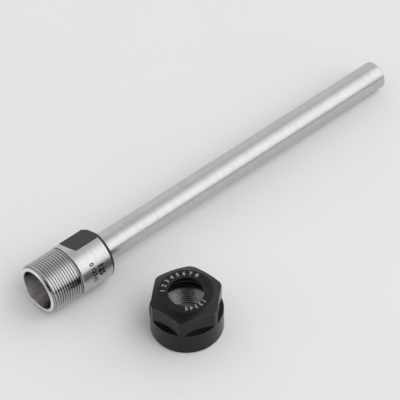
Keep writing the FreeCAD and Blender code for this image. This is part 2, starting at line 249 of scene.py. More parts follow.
@dataclass(frozen=True)
class Thread:
    """A right-handed 60 degree thread between two places along the axis.

    crest is the radius of its crests and depth how far its roots lie from them. crest_share and root_share are the
    flats on them, as shares of the pitch. lead_radius and lead_slope give the cone that opens the thread's way in:
    its radius at zero along the axis, and how that grows with the distance.
    """

    side: ThreadSide
    start: float
    end: float
    pitch: float
    crest: float
    depth: float
    crest_share: float
    root_share: float
    lead_radius: float
    lead_slope: float
    per_pitch: int = 12

    def groove(self, turns: Array) -> Array:
        """Say how deep the thread is, from 0 at the crest to 1 at the root, at a share of one turn.

        The middle of the crest is at zero. Going from there, half the crest is flat, a straight flank goes down,
        and half the root is flat.

        Args:
            turns: places in the profile, in turns. Only their fraction counts.

        Returns:
            The depth at each, as a share of the thread's.
        """
        away = np.abs((turns + 0.5) % 1.0 - 0.5)
        flank = 0.5 - (self.crest_share + self.root_share) / 2
        return np.clip((away - self.crest_share / 2) / flank, 0.0, 1.0)

    def places(self) -> Array:
        """Choose where the rows of one turn lie, as shares of it, with rows on every edge of the profile."""
        down = np.linspace(self.crest_share / 2, 0.5 - self.root_share / 2, self.per_pitch // 2)
        return np.sort(np.concatenate([[0.0, 0.5], down, 1.0 - down]))

    def rows(self, angles: Array) -> Rows:
        """Make the rows of the thread.

        Each row climbs one pitch in a turn: its place along the axis is its own start plus the pitch times the
        share of a turn, kept between the two ends. So the last column of a row meets the first column of the row
        one pitch on. The radius is the crest's less the depth times the groove, cut off by the lead's cone. The mask
        is one on the crests and zero in the roots: the thread finishes paint shade into the roots by it.

        Args:
            angles: the columns' angles in radians.

        Returns:
            The rows, from the thread's start to its end.
        """
        share = angles / (2 * pi)
        turns = np.arange(-1, ceil((self.end - self.start) / self.pitch) + 1)
        starts = self.start + (turns[:, None] + self.places()[None, :]).ravel() * self.pitch
        starts = np.append(starts[starts < self.end - NO_LENGTH / MM], self.end)
        along = np.clip(starts[:, None] + self.pitch * share[None, :], self.start, self.end)
        sign = self.side.value
        radius = self.crest - sign * self.depth * self.groove((along - self.start) / self.pitch - share[None, :])
        lead = self.lead_radius + self.lead_slope * along
        radius = np.minimum(radius, lead) if sign > 0 else np.maximum(radius, lead)
        # The crests' height is the mask by which the thread finishes paint shade into the roots.
        height = np.clip(1 - np.abs(radius - self.crest) / self.depth, 0, 1)
        return Rows(along, radius, height, np.full(along.shape, float(Zone.THREAD)))


@dataclass(frozen=True)
class Axis:
    """An axis to turn a surface about: a point on it, its direction, and the direction of the first column."""

    origin: Array
    along: Array
    first: Array

    @property
    def second(self) -> Array:
        """Give the direction a quarter turn on from the first column."""
        return np.cross(self.along, self.first)

    def place(self, along: Array, radius: Array, angle: Array) -> Array:
        """Give origin + axis times distance + radius times (first times cosine + second times sine of the angle)."""
        out = self.origin + along[..., None] * self.along
        return out + radius[..., None] * (
            np.cos(angle)[..., None] * self.first + np.sin(angle)[..., None] * self.second
        )


def placed(name: str, data: bpy.types.ID) -> Piece:
    """Make an object of a mesh, a lamp, a camera or a text.

    Args:
        name: name of the object.
        data: what it shows.

    Returns:
        The object, in the scene.
    """
    thing = bpy.data.objects.new(name, data)
    bpy.context.scene.collection.objects.link(thing)
    return thing


def turned_object(name: str, axis: Axis, rows: Rows, angles: Array) -> Piece:
    """Make the closed object of a turned surface: one face between each two rows and each two columns.

    Places that fall together become one, which closes seams and poles. A mesh that turns out inside out is turned
    round. The mesh carries each place's mask of rubbed edges and painted light: highlights painted on broken edges
    and shade painted into thread roots.

    Args:
        name: name of the object.
        axis: what the surface is turned about.
        rows: its rows, from one pole to the other, in millimetres.
        angles: the columns' angles in radians.

    Returns:
        The object, in the scene.
    """
    places = axis.place(rows.along, rows.radius, np.broadcast_to(angles, rows.along.shape))
    number = np.arange(rows.along.size).reshape(rows.along.shape)
    faces = np.stack([number[:-1, :-1], number[:-1, 1:], number[1:, 1:], number[1:, :-1]], -1)
    mesh = bpy.data.meshes.new(name)
    mesh.from_pydata(places.reshape(-1, 3) * MM, [], faces.reshape(-1, 4))
    mesh.polygons.foreach_set("material_index", rows.zone[:-1, :-1].ravel().astype(np.int32))
    # The mask paints highlights on broken edges, with rubbed steel, and shade into thread roots.
    wear_and_painted_light = mesh.attributes.new("wear_and_painted_light", "FLOAT", "POINT")
    wear_and_painted_light.data.foreach_set("value", rows.wear_and_painted_light.ravel().astype(np.float32))
    work = bmesh.new()
    work.from_mesh(mesh)
    bmesh.ops.remove_doubles(work, verts=work.verts, dist=SAME_PLACE)
    bmesh.ops.dissolve_degenerate(work, edges=work.edges, dist=NO_LENGTH)
    if work.calc_volume(signed=True) < 0:
        bmesh.ops.reverse_faces(work, faces=work.faces)
    loose = sum(1 for edge in work.edges if len(edge.link_faces) != 2)
    work.to_mesh(mesh)
    work.free()
    if loose:
        LOG.warning("%s has %d edges that don't join two faces", name, loose)
    mesh.shade_smooth()
    mesh.set_sharp_from_angle(angle=radians(CREASE))
    return placed(name, mesh)


# --- Shading ---


class Signal:
    """A number that changes over a surface: a node's socket that can be used in arithmetic."""

    def __init__(self, board: "Board", socket: Socket) -> None:
        """Keep the socket and the board its node is on."""
        self.board = board
        self.socket = socket

    def maths(self, operation: str, *values: "Signal | float") -> "Signal":
        """Add one Math node that works on the values."""
        node = self.board.node("ShaderNodeMath", {"operation": operation}, dict(enumerate(values)))
        return Signal(self.board, node.outputs[0])

    def __add__(self, other: "Signal | float") -> "Signal":
        """Add."""
        return self.maths("ADD", self, other)

    def __radd__(self, other: float) -> "Signal":
        """Add to a number."""
        return self.maths("ADD", other, self)

    def __sub__(self, other: "Signal | float") -> "Signal":
        """Take away."""
        return self.maths("SUBTRACT", self, other)

    def __rsub__(self, other: float) -> "Signal":
        """Take away from a number."""
        return self.maths("SUBTRACT", other, self)

    def __mul__(self, other: "Signal | float") -> "Signal":
        """Multiply."""
        return self.maths("MULTIPLY", self, other)

    def __rmul__(self, other: float) -> "Signal":
        """Multiply a number."""
        return self.maths("MULTIPLY", other, self)

    def __truediv__(self, other: "Signal | float") -> "Signal":
        """Divide."""
        return self.maths("DIVIDE", self, other)

    def __pow__(self, other: float) -> "Signal":
        """Raise to a power."""
        return self.maths("POWER", self, other)

    def limited(self, low: float, high: float) -> "Signal":
        """Stretch low to high over zero to one, and stay there beyond them."""
        ends = {"Value": self, "From Min": low, "From Max": high}
        return Signal(self.board, self.board.node("ShaderNodeMapRange", {"clamp": True}, ends).outputs[0])


SocketValue = Signal | float | Sequence[float] | Socket


@dataclass(frozen=True)
class Noise:
    """A smooth noise: its scale in a metre, its octaves, and how rough they make it."""

    scale: float
    octaves: float
    rough: float


class Board:
    """The nodes of one material or world, with one way to add any of them."""

    def __init__(self, owner: Material | bpy.types.World) -> None:
        """Start with nothing but the output.

        Args:
            owner: whose nodes they are.
        """
        self.owner = owner
        owner.use_nodes = True
        self.tree = owner.node_tree
        self.tree.nodes.clear()
        kind = "World" if isinstance(owner, bpy.types.World) else "Material"
        self.end = self.tree.nodes.new(f"ShaderNodeOutput{kind}")

    @classmethod
    def of_material(cls, name: str) -> "Board":
        """Start a material."""
        return cls(bpy.data.materials.new(name))

    def node(self, kind: str, settings: Mapping[str, object] | None = None,
             values: Mapping[str | int, SocketValue] | None = None) -> bpy.types.Node:
        """Add a node.

        Args:
            kind: the node's type.
            settings: what is set on the node itself, before its sockets.
            values: what its sockets hold or are linked to, by name or number.

        Returns:
            The node.
        """
        node = self.tree.nodes.new(kind)
        for name, setting in (settings or {}).items():
            setattr(node, name, setting)
        for place, value in (values or {}).items():
            value = value.socket if isinstance(value, Signal) else value
            if isinstance(value, Socket):
                self.tree.links.new(value, node.inputs[place])
            else:
                node.inputs[place].default_value = value
        return node

    def signal(self, socket: Socket) -> Signal:
        """Wrap a socket."""
        return Signal(self, socket)

    def vector(self, operation: str, *values: SocketValue) -> bpy.types.Node:
        """Add a Vector Math node."""
        return self.node("ShaderNodeVectorMath", {"operation": operation}, dict(enumerate(values)))

    def object_place(self) -> Socket:
        """Give the place on the object, in metres."""
        return self.node("ShaderNodeTexCoord").outputs["Object"]

    def attribute(self, name: str) -> Signal:
        """Give a number that the mesh carries."""
        return self.signal(self.node("ShaderNodeAttribute", {"attribute_name": name}).outputs["Fac"])

    def noise(self, place: SocketValue, kind: Noise) -> Signal:
        """Give a noise between zero and one."""
        values = {"Vector": place, "Scale": kind.scale, "Detail": kind.octaves, "Roughness": kind.rough}
        return self.signal(self.node("ShaderNodeTexNoise", {"noise_dimensions": "3D"}, values).outputs[0])

    def patchy(self, first: Signal, second: Signal, share: float, soft: float) -> Signal:
        """Mix two noises, the first by its share, and stretch what lies within soft of a half over zero to one."""
        return (first * share + second * (1.0 - share)).limited(0.5 - soft, 0.5 + soft)

    def blend(self, share: Signal, low: SocketValue, high: SocketValue) -> Socket:
        """Mix two colours."""
        low, high = ((*value, 1.0) if isinstance(value, tuple) else value for value in (low, high))
        return self.node("ShaderNodeMix", {"data_type": "RGBA"}, {0: share, 6: low, 7: high}).outputs[2]

    def table(self, place: Signal, points: Sequence[tuple[float, float]], peak: float) -> Signal:
        """Look a number up in a table of straight stretches.

        Args:
            place: where to look.
            points: pairs of place and value, in rising order.
            peak: no value is above this.

        Returns:
            The value.
        """
        low, high = points[0][0], points[-1][0]
        ramp = self.node("ShaderNodeValToRGB", None, {0: place.limited(low, high)})
        stops = ramp.color_ramp.elements
        while len(stops) < len(points):
            stops.new(0.5)
        for stop, (where, value) in zip(stops, points, strict=True):
            stop.position = (where - low) / (high - low)
            stop.color = (value / peak, value / peak, value / peak, 1.0)
        return self.signal(ramp.outputs[0]) * peak

    def bump(self, height: Signal, depth: float) -> Socket:
        """Turn a height from zero to one into a normal, for a relief of this depth in micrometres."""
        values = {"Height": height, "Distance": depth * 1e-6, "Strength": 1.0}
        return self.node("ShaderNodeBump", None, values).outputs[0]

    def surface(self, **values: SocketValue) -> Material:
        """Finish the material with a Principled shader.

        Args:
            values: what its sockets hold or are linked to. An underscore stands for a space in a socket's name.

        Returns:
            The material.
        """
        named = {name.replace("_", " "): value for name, value in values.items()}
        shader = self.node("ShaderNodeBsdfPrincipled", None, named)
        self.tree.links.new(shader.outputs[0], self.end.inputs["Surface"])
        return self.owner


@dataclass(frozen=True)
class BrightSteel:
    """Hardened steel, ground or turned bright: fine lines round the axis, and faint darker bands and patches.

    line_width is the width of one line in millimetres, and line_depth how deep the lines are in micrometres.
    smear and band_speed are how fast the noise changes across the axis and how fast the bands do along it, in a
    metre. line_rough and band_rough are how far the roughness follows the lines and the bands. Where the surface
    has grooves, groove is a painted shade: its colour is painted into the roots, where the mesh's mask is low, and
    the crests keep the bright one.
    """

    name: str
    axis: Axis
    colour: Colour = (0.565, 0.555, 0.565)
    shade: Colour = (0.5, 0.487, 0.495)
    roughness: float = 0.2
    line_width: float = 0.09
    line_depth: float = 0.8
    metallic: float = 0.86
    groove: Colour | None = None
    lines: Noise = Noise(1.0, 2.0, 0.6)
    bands: Noise = Noise(1.0, 3.0, 0.55)
    patches: Noise = Noise(210.0, 4.0, 0.6)
    smear: float = 160.0
    band_speed: float = 900.0
    line_rough: float = 0.05
    band_rough: float = 0.07

    def make(self) -> Material:
        """Build the material.

        Noise is stretched round the axis by giving it the place along the axis at full scale and the places across
        it at a small one, so its patches become lines. A slower, wider noise moves the colour and the roughness.

        Returns:
            The material.
        """
        board = Board.of_material(self.name)
        place = board.object_place()
        along = board.signal(board.vector("DOT_PRODUCT", place, tuple(self.axis.along)).outputs["Value"])
        across = board.vector("MULTIPLY", place, (0.0, self.smear, self.smear)).outputs[0]
        lines, bands = (
            board.noise(board.vector("ADD", board.node("ShaderNodeCombineXYZ", None, {0: along * speed}).outputs[0],
                                     across).outputs[0], kind)
            for speed, kind in ((1000.0 / self.line_width, self.lines), (self.band_speed, self.bands))
        )
        drift = board.patchy(bands, board.noise(place, self.patches), share=0.6, soft=0.2)
        tone = board.blend(drift, self.shade, self.colour)
        # Painted shade: the thread roots take the darker groove colour by the mesh's mask; the crests keep the tone.
        if self.groove:
            tone = board.blend(board.attribute("wear_and_painted_light").limited(0.05, 0.7), self.groove, tone)
        return board.surface(
            Base_Color=tone,
            Metallic=self.metallic,
            Roughness=self.roughness + (1.0 - drift) * self.band_rough + (lines - 0.5) * self.line_rough,
            Normal=board.bump(lines, self.line_depth),
        )


@dataclass(frozen=True)
class DarkSkin:
    """A dark skin on steel, by default the grey, satin one that hardening leaves on faces that aren't ground.

    It has two tones in patches, bare steel along worn edges, and a fine grain in its relief. The bare steel is
    rubbed steel and a painted highlight on the edges; on a thread it lies on the crests and leaves the roots dark,
    as painted shade. coarse and fine are the patches' noises: share is how much of the coarse one there is, and
    what lies within soft of a half in their mix is stretched over both tones. A worn edge shows by edge_least, and
    by edge_more on top where the steel is chipped, which follows the patches or a noise of its own, stretched over
    chip_step. spread and edge_rough are how far the roughness follows the patches and the edges. grain_depth is in
    micrometres.
    """

    name: str
    colour: Colour = (0.039, 0.038, 0.042)
    light: Colour = (0.055, 0.054, 0.059)
    bare: Colour = (0.34, 0.34, 0.35)
    roughness: float = 0.42
    metallic: float = 0.9
    ior: float = 1.5
    coarse: Noise = Noise(240.0, 3.0, 0.5)
    fine: Noise = Noise(900.0, 4.0, 0.65)
    share: float = 0.4
    soft: float = 0.2
    chips: Noise | None = None
    chip_step: tuple[float, float] = (0.4, 0.62)
    edge_least: float = 0.35
    edge_more: float = 0.4
    spread: float = 0.1
    edge_rough: float = 0.0
    grain: Noise = Noise(9000.0, 2.0, 0.6)
    grain_depth: float = 3.0

    def make(self) -> Material:
        """Build the material: the patches' tone, then the bare steel over it by the mesh's mask: rubbed steel and
        painted highlights on the edges, and painted shade in thread roots.

        Returns:
            The material.
        """
        board = Board.of_material(self.name)
        place = board.object_place()
        coarse, fine = board.noise(place, self.coarse), board.noise(place, self.fine)
        patches = board.patchy(coarse, fine, self.share, self.soft)
        chips = board.noise(place, self.chips).limited(*self.chip_step) if self.chips else patches
        # Painted light: bare steel by the mask paints highlights on rubbed edges and leaves thread roots dark as
        # shade.
        edge = board.attribute("wear_and_painted_light") * (self.edge_least + chips * self.edge_more)
        tone = board.blend(patches, self.colour, self.light)
        return board.surface(
            Base_Color=board.blend(edge.limited(0.0, 1.0), tone, self.bare),
            Metallic=self.metallic,
            Roughness=self.roughness + (patches - 0.5) * self.spread + edge * self.edge_rough,
            IOR=self.ior,
            Normal=board.bump(board.noise(place, self.grain), self.grain_depth),
        )


@dataclass(frozen=True)
class BlackOxide(DarkSkin):
    """Oiled black oxide on turned and milled steel: near black, satin, with a little bare steel along its edges,
    rubbed steel with a painted highlight.
    """

    colour: Colour = (0.0035, 0.0033, 0.004)
    light: Colour = (0.009, 0.0084, 0.0094)
    bare: Colour = (0.075, 0.072, 0.074)
    roughness: float = 0.24
    metallic: float = 0.0
    ior: float = 1.33
    coarse: Noise = Noise(320.0, 5.0, 0.6)
    fine: Noise = Noise(1500.0, 3.0, 0.6)
    share: float = 0.65
    soft: float = 0.18
    chips: Noise | None = Noise(2600.0, 4.0, 0.7)
    edge_least: float = 0.25
    edge_more: float = 0.75
    spread: float = 0.12
    edge_rough: float = 0.06
    grain: Noise = Noise(4500.0, 3.0, 0.6)
    grain_depth: float = 3.5


@dataclass(frozen=True)
class MarkFinish:
    """The finish of engraved or etched numbers: one tone with a little grain, its depth in micrometres."""

    name: str
    colour: Colour
    shade: Colour
    roughness: float
    sheen: float = 0.5
    spread: float = 0.1
    grain: Noise = Noise(5200.0, 3.0, 0.65)
    grain_depth: float = 2.0

    def make(self) -> Material:
        """Build the material, with a fine noise in its tone and in its relief.

        Returns:
            The material.
        """
        board = Board.of_material(self.name)
        grain = board.noise(board.object_place(), self.grain)
        return board.surface(
            Base_Color=board.blend(grain.limited(0.3, 0.7), self.shade, self.colour),
            Metallic=0.0,
            Specular_IOR_Level=self.sheen,
            Roughness=self.roughness + (grain - 0.5) * self.spread,
            Normal=board.bump(grain, self.grain_depth),
        )


# --- Numbers on the two pieces ---


def together(shapes: Sequence[Shape]) -> Shape:
    """Join shapes into one, each one's face numbers raised by the count of the places before its own.

    Args:
        shapes: places and faces of each.

    Returns:
        All places and all faces.
    """
    faces: Faces = []
    base = 0
    for places, own in shapes:
        faces += [tuple(base + number for number in face) for face in own]
        base += len(places)
    return np.vstack([places for places, _ in shapes]), faces


@dataclass(frozen=True)
class Digits:
    """A line of plain digits, set one by one along an arc.

    middles are the middles of the digits along the line. They, the height, the thickness and the boldness, which
    is how much the strokes are thickened, are millimetres. Each digit is cut into upright strips, so that it can
    follow a round surface.
    """

    text: str
    middles: tuple[float, ...]
    height: float
    boldness: float = 0.0
    thickness: float = 0.02
    strips: int = 14
    curve_steps: int = 6
    capital: float = 0.7

    def cut_in_strips(self, mesh: bpy.types.Mesh) -> None:
        """Cut a digit's mesh into upright strips.

        Args:
            mesh: the digit, at a size of one.
        """
        work = bmesh.new()
        work.from_mesh(mesh)
        for step in range(1, self.strips):
            everything = [*work.verts, *work.edges, *work.faces]
            middle = (step / self.strips, 0.0, 0.0)
            bmesh.ops.bisect_plane(work, geom=everything, plane_co=middle, plane_no=(1.0, 0.0, 0.0))
        work.to_mesh(mesh)
        work.free()

    def one(self, digit: str, middle: float) -> Shape:
        """Make one digit as a flat body in a plane.

        A digit is capital high at a size of one, so the boldness is taken at that height, and the digit is then
        scaled to its own.

        Args:
            digit: which digit.
            middle: its middle along the line.

        Returns:
            Its places, as along the line, up and out of the plane, and its faces.
        """
        curve = bpy.data.curves.new("digit", "FONT")
        curve.body = digit
        curve.size = 1.0
        curve.resolution_u = self.curve_steps
        curve.extrude = 0.5
        curve.offset = self.boldness / self.height * self.capital
        holder = placed("digit", curve)
        bpy.context.view_layer.update()
        mesh = bpy.data.meshes.new_from_object(holder.evaluated_get(bpy.context.evaluated_depsgraph_get()))
        self.cut_in_strips(mesh)
        flat = np.empty(len(mesh.vertices) * 3, np.float32)
        mesh.vertices.foreach_get("co", flat)
        points = flat.reshape(-1, 3).astype(float)
        low, high = points.min(axis=0), points.max(axis=0)
        scale = self.height / (high[1] - low[1])
        points = (points - (low + high) / 2) * (scale, scale, self.thickness)
        points[:, 0] += middle
        faces = [tuple(face.vertices) for face in mesh.polygons]
        bpy.data.objects.remove(holder)
        bpy.data.curves.remove(curve)
        bpy.data.meshes.remove(mesh)
        return points, faces

    def shape(self) -> Shape:
        """Make the line of digits."""
        return together([self.one(digit, middle) for digit, middle in zip(self.text, self.middles, strict=True)])


def marks_object(name: str, lines: Sequence[Shape], finish: MarkFinish) -> Piece:
    """Make the object of lines of digits, once their places are on the piece.

    Args:
        name: name of the object.
        lines: each line's places in millimetres and faces.
        finish: what they are dressed in.

    Returns:
        The object, in the scene.
    """
    places, faces = together(lines)
    mesh = bpy.data.meshes.new(name)
    mesh.from_pydata(places * MM, [], faces)
    work = bmesh.new()
    work.from_mesh(mesh)
    bmesh.ops.remove_doubles(work, verts=work.verts, dist=SAME_PLACE)
    bmesh.ops.recalc_face_normals(work, faces=work.faces)
    work.to_mesh(mesh)
    work.free()
    mesh.materials.append(finish.make())
    return placed(name, mesh)


# --- Chuck body ---


@dataclass
class ChuckBody:
    """The bar that holds the collet: threaded nose, taper socket, head with two wrench flats, and ground shank.

    Distances along the axis are from the mouth. thread_depth is a share of the pitch, and thread_flats are the
    flats on the crest and in the root, as shares too. root_run is the stretch of shank that the fillet may take.
    crown is how far the back chamfer's middle is proud. lines are the etched numbers: their digits, how far along
    the head they stand, and the angle from its top, in degrees, at which they start.
    """

    mouth: tuple[float, float, float] = (-60.185481, 15.825, 7.659824)
    tilt: float = 1.745685
    flat_roll: float = 24.0
    shank_radius: float = 4.0
    shank_end: float = 120.5
    shank_chamfer: float = 0.3
    root_fillet: float = 0.4
    root_run: float = 0.3
    head_end: float = 20.5
    head_radius: float = 7.15
    back_chamfer: float = 0.8
    painted_shade_lap: float = 0.25
    crown: float = 0.02
    front_chamfer: float = 0.15
    flat_distance: float = 6.0
    flat_start: float = 12.3
    wall_angle: float = 45.0
    thread_radius: float = 7.0
    thread_start: float = 0.3
    thread_pitch: float = 0.75
    thread_depth: float = 0.416
    thread_flats: tuple[float, float] = (0.4, 0.12)
    thread_chamfer: float = 0.9
    relief_start: float = 9.35
    relief_end: float = 9.9
    relief_radius: float = 6.4
    mouth_radius: float = 5.5
    mouth_chamfer: float = 0.15
    taper_half_angle: float = 8.0
    taper_depth: float = 14.0
    bore_radius: float = 3.5
    bore_depth: float = 17.4
    drill_half_angle: float = 59.0
    centre_radius: float = 1.675
    pilot_radius: float = 0.8
    centre_half_angle: float = 30.0
    centre_depth: float = 3.2
    columns: int = 240
    column_hold: float = 0.3
    lines: tuple[tuple[Digits, float, float], ...] = (
        (Digits("125", (0.0, 1.15, 2.35), 1.75, boldness=0.11), 16.0, 62.5),
        (Digits("0", (0.0,), 1.3, boldness=0.06), 13.7, 50.5),
        (Digits("12345", tuple(0.95 * step for step in range(5)), 1.2, boldness=0.05), 13.7, 60.5),
    )
    pieces: list[Piece] = field(default_factory=list)

    @property
    def axis(self) -> Axis:
        """Work out the chuck's axis, from the mouth to the tail.

        Returns:
            The axis, with the first column on a wrench flat's middle.
        """
        lean, roll = radians(self.tilt), radians(self.flat_roll)
        along = np.array([cos(lean), 0.0, -sin(lean)])
        top = np.array([sin(lean), 0.0, cos(lean)])
        side = np.array([0.0, 1.0, 0.0])
        return Axis(np.array(self.mouth), along, cos(roll) * top + sin(roll) * side)

    @cached_property
    def angles(self) -> Array:
        """Choose the columns, with some on the long edges of the flats and where a flat leaves the chamfer.

        Returns:
            Their angles in radians.
        """
        wide, narrow = (degrees(acos(self.flat_distance / radius))
                        for radius in (self.head_radius, self.head_radius - self.back_chamfer))
        marked = [side + half for side in (0.0, 180.0) for half in (-wide, -narrow, narrow, wide)]
        return columns_round(self.columns, marked, self.column_hold)

    def inside(self) -> Rows:
        """Make the rows from the bottom of the drilled bore out to where the thread starts.

        Returns:
            The rows.
        """
        tip = self.bore_depth + self.bore_radius / tan(radians(self.drill_half_angle))
        slope = tan(radians(self.taper_half_angle))
        foot = self.mouth_radius - self.taper_depth * slope
        edge = self.mouth_radius - self.mouth_chamfer * slope
        return outline([
            Corner(tip, 0.0, Zone.SKIN),
            Corner(self.bore_depth, self.bore_radius, Zone.SKIN, 0.05, worn=False),
            Corner(self.taper_depth, self.bore_radius, Zone.SKIN),
            Corner(self.taper_depth, foot, Zone.SOCKET),
            Corner(self.mouth_chamfer, edge, Zone.SOCKET, 0.03),
            # The mouth's face and the start of the thread's lead are painted lighter steel, as painted light.
            Corner(0.0, self.mouth_radius + self.mouth_chamfer, Zone.FACE, 0.03),
            Corner(0.0, self.thread_radius - self.thread_chamfer, Zone.FACE, 0.05),
            Corner(self.thread_start, self.thread_radius - self.thread_chamfer + self.thread_start, Zone.THREAD),
        ], len(self.angles))

    def nose(self) -> Rows:
        """Make the rows of the fine thread, open at the mouth.

        Returns:
            The rows.
        """
        return Thread(
            ThreadSide.OUTSIDE, self.thread_start, self.relief_start, self.thread_pitch, self.thread_radius,
            self.thread_depth * self.thread_pitch, *self.thread_flats,
            lead_radius=self.thread_radius - self.thread_chamfer, lead_slope=1.0,
        ).rows(self.angles)

    def outside(self) -> Rows:
        """Make the rows from the thread relief over the head and the shank to the bottom of the centre hole.

        A flat cuts the head where its distance from the axis over the cosine of the angle from its middle is less
        than the head's radius. The ramp that ends it towards the mouth starts as far ahead as the head stands
        above the flat at that angle, over the tangent of the wall's slope. The edge between a flat and the back
        chamfer runs where the chamfer's radius is the flat's. The back chamfer's skin is painted darker, as painted
        shade, and laps a little over that edge, away from the flats; the head's back face takes it too.

        Returns:
            The rows.
        """
        angles = self.angles
        cosine = np.maximum(np.abs(np.cos(angles)), SMALL)
        outer = np.minimum(self.head_radius, self.flat_distance / cosine)
        back = self.head_radius - self.back_chamfer
        proud = np.maximum(self.head_radius * cosine - self.flat_distance, 0.0)
        ramp = proud / tan(radians(self.wall_angle))
        edge = np.minimum(self.head_end - self.back_chamfer + self.head_radius - outer, self.head_end)
        middle = (angles[:-1] + angles[1:]) / 2
        cut = self.flat_distance < self.head_radius * np.abs(np.cos(middle))
        zone, rim = (np.append(np.where(cut, float(Zone.SKIN), float(other)), 0.0)
                     for other in (Zone.GROUND, Zone.CHAMFER))
        centre_cone = (self.centre_radius - self.pilot_radius) / tan(radians(self.centre_half_angle))
        pilot_end = self.shank_end - self.centre_depth
        pilot_tip = pilot_end - self.pilot_radius / tan(radians(self.drill_half_angle))
        root = self.head_end + self.root_fillet
        return outline([
            Corner(self.relief_start, self.relief_radius, Zone.THREAD),
            # The wall behind the relief is painted lighter steel, as painted light.
            Corner(self.relief_end, self.relief_radius, Zone.FACE, 0.08, worn=False),
            Corner(self.relief_end, self.head_radius - self.front_chamfer, Zone.SOCKET, 0.02),
            Corner(self.relief_end + self.front_chamfer, self.head_radius, Zone.GROUND, 0.02),
            Corner(self.flat_start - ramp, self.head_radius, zone, 0.03),
            Corner(self.flat_start, outer, zone, 0.15, worn=False),
            # From the lap through the back chamfer and the head's back face, the skin is painted darker as shade;
            # the flats keep it plain in the lap.
            Corner(edge - self.painted_shade_lap, outer, rim),
            Corner(edge, outer, Zone.CHAMFER, 0.04, worn=False, bulge=self.crown),
            Corner(self.head_end, np.minimum(outer, back), Zone.CHAMFER, 0.05, worn=False),
            Corner(self.head_end, self.shank_radius, Zone.GROUND, self.root_fillet, worn=False),
            Corner(root + self.root_run, self.shank_radius, Zone.GROUND),
            Corner(self.shank_end - self.shank_chamfer, self.shank_radius, Zone.GROUND, 0.06),
            Corner(self.shank_end, self.shank_radius - self.shank_chamfer, Zone.GROUND, 0.05),
            Corner(self.shank_end, self.centre_radius, Zone.SOCKET, 0.03),
            Corner(self.shank_end - centre_cone, self.pilot_radius, Zone.SKIN, 0.03, worn=False),
            Corner(pilot_end, self.pilot_radius, Zone.SKIN),
            Corner(pilot_tip, 0.0, Zone.SKIN),
        ], len(angles))

    def build(self) -> Piece:
        """Build the chuck body and dress it, with its finishes in the order of the zones.

        Returns:
            The body.
        """
        axis = self.axis
        rows = Rows.joined([self.inside(), self.nose(), self.outside()])
        piece = turned_object("chuck_body_turned", axis, rows, self.angles)
        for finish in (
            BrightSteel("ground_steel", axis),
            # threaded_steel paints shade into the thread roots with its darker groove colour.
            BrightSteel("threaded_steel", axis, (0.5, 0.495, 0.51), (0.45, 0.44, 0.455), roughness=0.13,
                        line_width=0.05, line_depth=0.4, metallic=1.0, groove=(0.3, 0.295, 0.305)),
            DarkSkin("hardened_skin"),
            BrightSteel("socket_steel", axis, (0.56, 0.545, 0.54), (0.5, 0.485, 0.48), roughness=0.13,
                        line_depth=0.25, metallic=1.0),
            # Painted light: the mouth's face and the wall behind the relief take this lighter steel.
            BrightSteel("face_steel_painted_light", axis, (0.86, 0.86, 0.87), (0.78, 0.78, 0.79), roughness=0.3),
            # Painted shade: a darker copy of the hardened skin for the back chamfer, its lap and the head's back
            # face.
            DarkSkin("skin_with_painted_shade", (0.014, 0.0136, 0.0147), (0.02, 0.0195, 0.021)),
        ):
            piece.data.materials.append(finish.make())
        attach(piece, "root")
        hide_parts("chuck_body")
        self.pieces.append(piece)
        return piece

    def mark(self) -> Piece:
        """Etch three lines of plain digits round the head, on the side away from the flats' lean.

        A digit's place along the line becomes an angle, the place over the radius, counted down from the top of
        the head, and its height becomes a distance along the axis, tops towards the tail.

        Returns:
            The numbers.
        """
        shapes: list[Shape] = []
        for digits, level, start in self.lines:
            flat, faces = digits.shape()
            angle = radians(self.flat_roll + start) + flat[:, 0] / self.head_radius
            shapes.append((self.axis.place(level + flat[:, 1], self.head_radius + flat[:, 2], angle), faces))
        finish = MarkFinish("etched_black", (0.002,) * 3, (0.004,) * 3, roughness=0.6, sheen=0.1)
        piece = marks_object("head_numbers", shapes, finish)
        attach(piece, "root")
        self.pieces.append(piece)
        return piece


# --- Clamping nut ---


